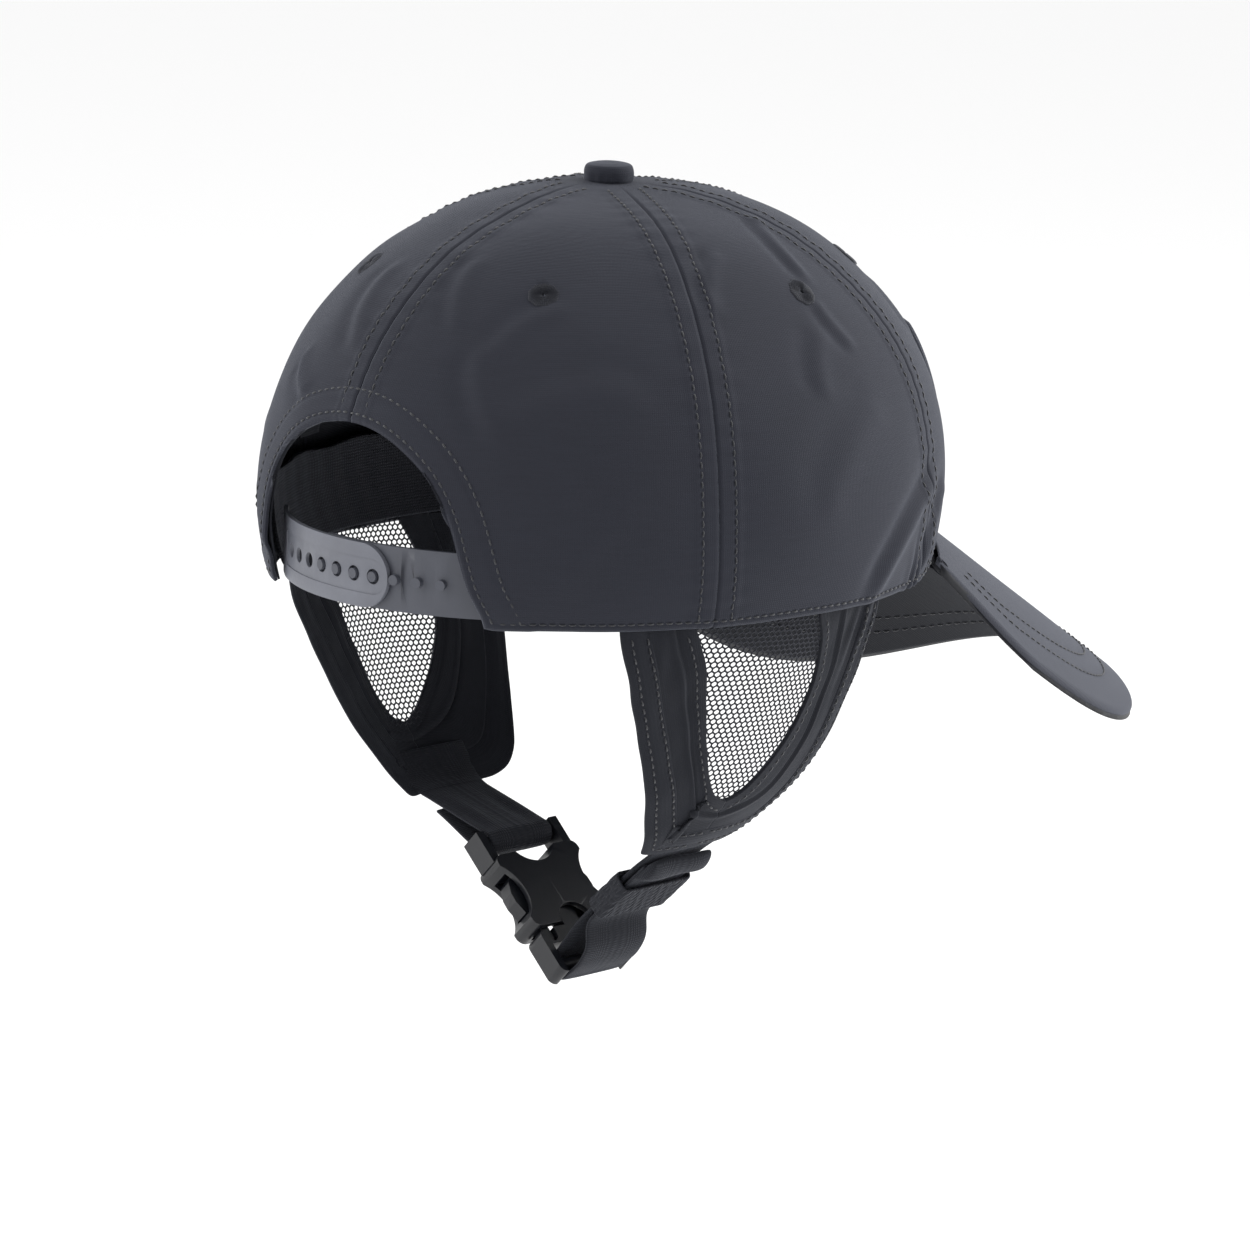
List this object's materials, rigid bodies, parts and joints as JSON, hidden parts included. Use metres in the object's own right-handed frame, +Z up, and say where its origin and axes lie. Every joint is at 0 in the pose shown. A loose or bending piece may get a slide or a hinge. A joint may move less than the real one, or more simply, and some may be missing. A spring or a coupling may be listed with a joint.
{
  "type": "surf cap",
  "caption": "Six-panel cap with an arched bill, mesh ear flaps, a buckled chin strap with a sliding keeper, and an adjustable peg-and-hole strap across the rear opening.",
  "frame": {"origin": "centre of the head opening, in the rim plane", "axes": "+Z up through the crown, -Y forwards along the bill, -X the wearer's right"},
  "size_m": [0.1816, 0.2879, 0.2327],
  "materials": {
    "crown_cloth": "matt plain-weave nylon",
    "bill_cloth": "matt plain-weave nylon",
    "bill_under_cloth": "matt plain-weave nylon",
    "lining": "brushed knit",
    "flap_cloth": "matt knit",
    "flap_binding": "folded stretch binding",
    "mesh": "open hexagonal net",
    "webbing": "soft webbing",
    "elastic": "ribbed elastic",
    "thread": "embroidery thread",
    "board": "bill board",
    "snap_plastic_left": "satin moulded",
    "snap_plastic_right": "satin moulded",
    "buckle_plastic": "semi-gloss moulded",
    "rivet_metal": "satin"
  },
  "bodies": {
    "crown": {"crown_panel_front_left": "crown_cloth", "crown_panel_front_right": "crown_cloth", "crown_panel_side_left": "crown_cloth", "crown_panel_side_right": "crown_cloth", "crown_panel_rear_left": "crown_cloth", "crown_panel_rear_right": "crown_cloth", "seam_tape_front": "lining", "seam_tape_front_right": "lining", "seam_tape_rear_right": "lining", "seam_tape_rear": "lining", "seam_tape_rear_left": "lining", "seam_tape_front_left": "lining", "button_shell": "crown_cloth", "button_rivet": "rivet_metal", "eyelets": "thread", "sweatband": "lining", "arch_facing": "lining", "front_patch": "flap_cloth", "temple_elastic_left": "elastic", "temple_elastic_right": "elastic", "bill_top_cover": "bill_cloth", "bill_board": "board", "bill_under_cover": "bill_under_cloth", "snap_strap_tab": "snap_plastic_left", "snap_strap_right": "snap_plastic_right", "flap_hem_left": "flap_cloth", "flap_hem_right": "flap_cloth", "chin_strap_left": "webbing", "buckle_female": "buckle_plastic", "flap_binding_rear_left": "flap_binding", "flap_binding_front_left": "flap_binding", "flap_panel_rear_left": "flap_cloth", "flap_panel_front_left": "flap_cloth", "flap_mesh_left": "mesh"},
    "flap_right": {"flap_binding_rear_right": "flap_binding", "flap_binding_front_right": "flap_binding", "flap_panel_rear_right": "flap_cloth", "flap_panel_front_right": "flap_cloth", "flap_mesh_right": "mesh", "chin_strap_right": "webbing", "buckle_male": "buckle_plastic"},
    "release_arm_rear": {"release_arm_rear": "buckle_plastic"},
    "release_arm_front": {"release_arm_front": "buckle_plastic"},
    "strap_keeper": {"strap_keeper": "elastic"},
    "hole_strap": {"snap_strap_left": "snap_plastic_left"}
  },
  "joints": [
    {"name": "right_flap_swing", "type": "hinge", "parent": "crown", "child": "flap_right", "pos_m": [-0.091, 0, 0], "axis": [0, 1, 0], "range_deg": [0, 40], "deforming": ["release_arm_rear", "release_arm_front"]},
    {"name": "rear_arm_squeeze", "type": "hinge", "parent": "flap_right", "child": "release_arm_rear", "pos_m": [-0.00468, 0.0245, -0.10531], "axis": [0.6947, 0, -0.7193], "range_deg": [0, 9], "stiffness_Nm_per_rad": 0.05},
    {"name": "front_arm_squeeze", "type": "hinge", "parent": "flap_right", "child": "release_arm_front", "pos_m": [-0.00468, 0.0025, -0.10531], "axis": [0.6947, 0, -0.7193], "range_deg": [-9, 0], "stiffness_Nm_per_rad": 0.05},
    {"name": "keeper_slide", "type": "slide", "parent": "flap_right", "child": "strap_keeper", "axis": [0.7408, 0, -0.6717], "range_m": [-0.0035, 0.0025]},
    {"name": "hole_strap_peel", "type": "hinge", "parent": "crown", "child": "hole_strap", "pos_m": [0.04174, 0.08339, 0.011], "axis": [0, 0, -1], "range_deg": [0, 30]}
  ],
  "couplings": [
    {"joint": "front_arm_squeeze", "follows": "rear_arm_squeeze", "ratio": -1}
  ]
}
